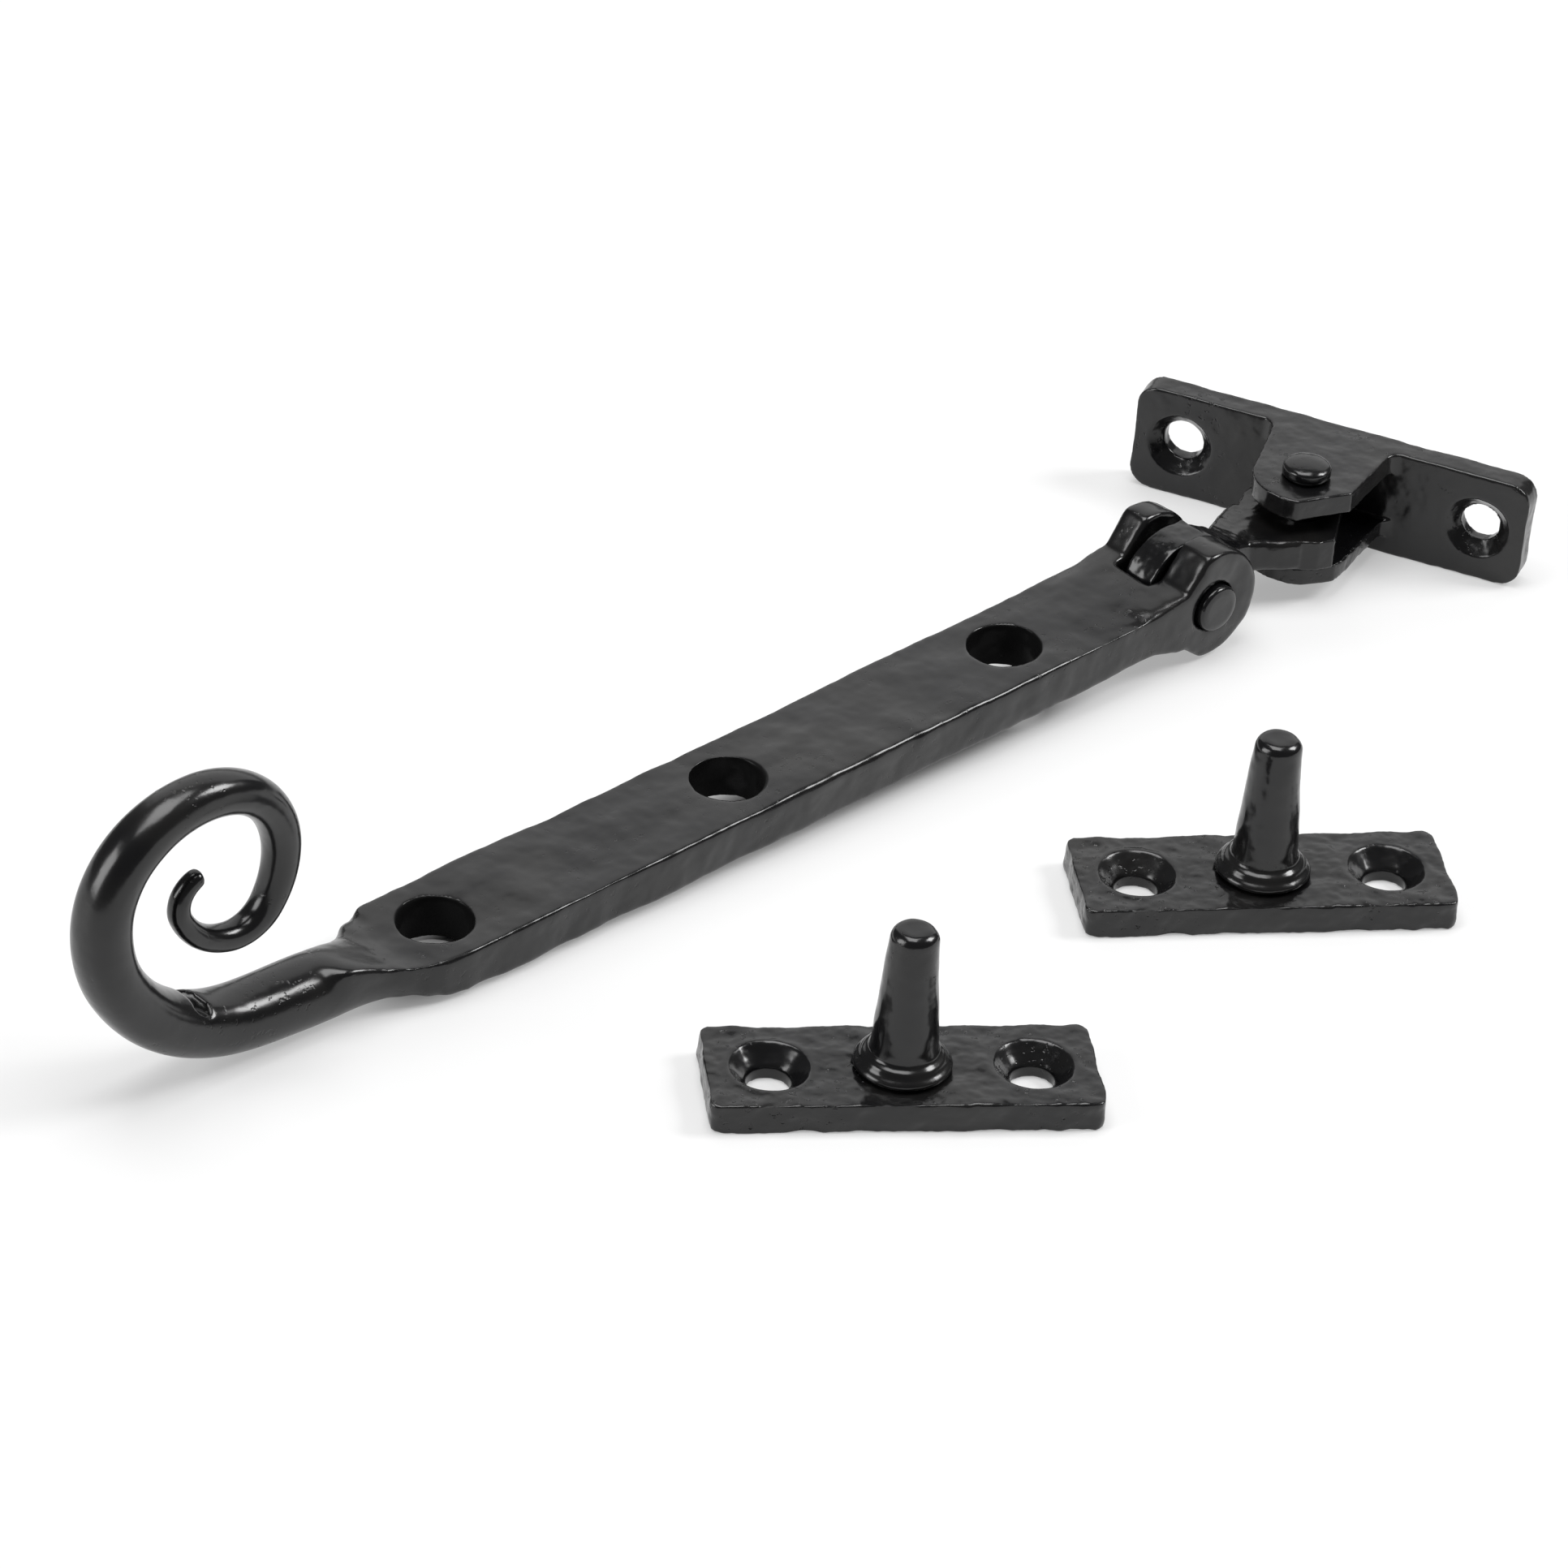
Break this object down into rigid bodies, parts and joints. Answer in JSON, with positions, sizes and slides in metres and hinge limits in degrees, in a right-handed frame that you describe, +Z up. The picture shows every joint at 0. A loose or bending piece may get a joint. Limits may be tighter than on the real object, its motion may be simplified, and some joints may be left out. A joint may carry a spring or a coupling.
{
  "type": "casement window stay",
  "caption": "Flat bar stay with peg holes, a curled tail and a forked end that hinges on a swivelling wall bracket, with loose tapered stay pins on screw plates.",
  "frame": {"origin": "on the table, in the middle of the whole set's footprint", "axes": "+X along the arm towards its forked end and bracket, +Y away from the loose pins, +Z up off the table"},
  "size_m": [0.2418, 0.11, 0.0442],
  "materials": {
    "black_enamel": "gloss black enamel over forged and cast iron",
    "rivet_enamel": "gloss black enamel over turned steel"
  },
  "bodies": {
    "arm": {"stay_arm": "black_enamel", "arm_rivet": "rivet_enamel"},
    "link": {"swivel_link": "black_enamel"},
    "bracket": {"bracket": "black_enamel", "bracket_rivet": "rivet_enamel"},
    "tail_pin": {"tail_pin_plate": "black_enamel", "tail_pin_peg": "rivet_enamel"},
    "fork_pin": {"fork_pin_plate": "black_enamel", "fork_pin_peg": "rivet_enamel"}
  },
  "joints": [
    {"name": "link_hinge", "type": "hinge", "parent": "arm", "child": "link", "pos_m": [0.06852, 0.02178, 0.00869], "axis": [0, -1, 0], "range_deg": [-80, 80]},
    {"name": "bracket_swivel", "type": "hinge", "parent": "link", "child": "bracket", "pos_m": [0.09422, 0.02178, 0.0082], "axis": [0, 0, 1], "range_deg": [-110, 60]},
    {"name": "tail_pin_lift", "type": "slide", "parent": "arm", "child": "tail_pin", "axis": [0, 0, 1], "range_m": [0, 0.06]},
    {"name": "fork_pin_lift", "type": "slide", "parent": "arm", "child": "fork_pin", "axis": [0, 0, 1], "range_m": [0, 0.06]}
  ]
}
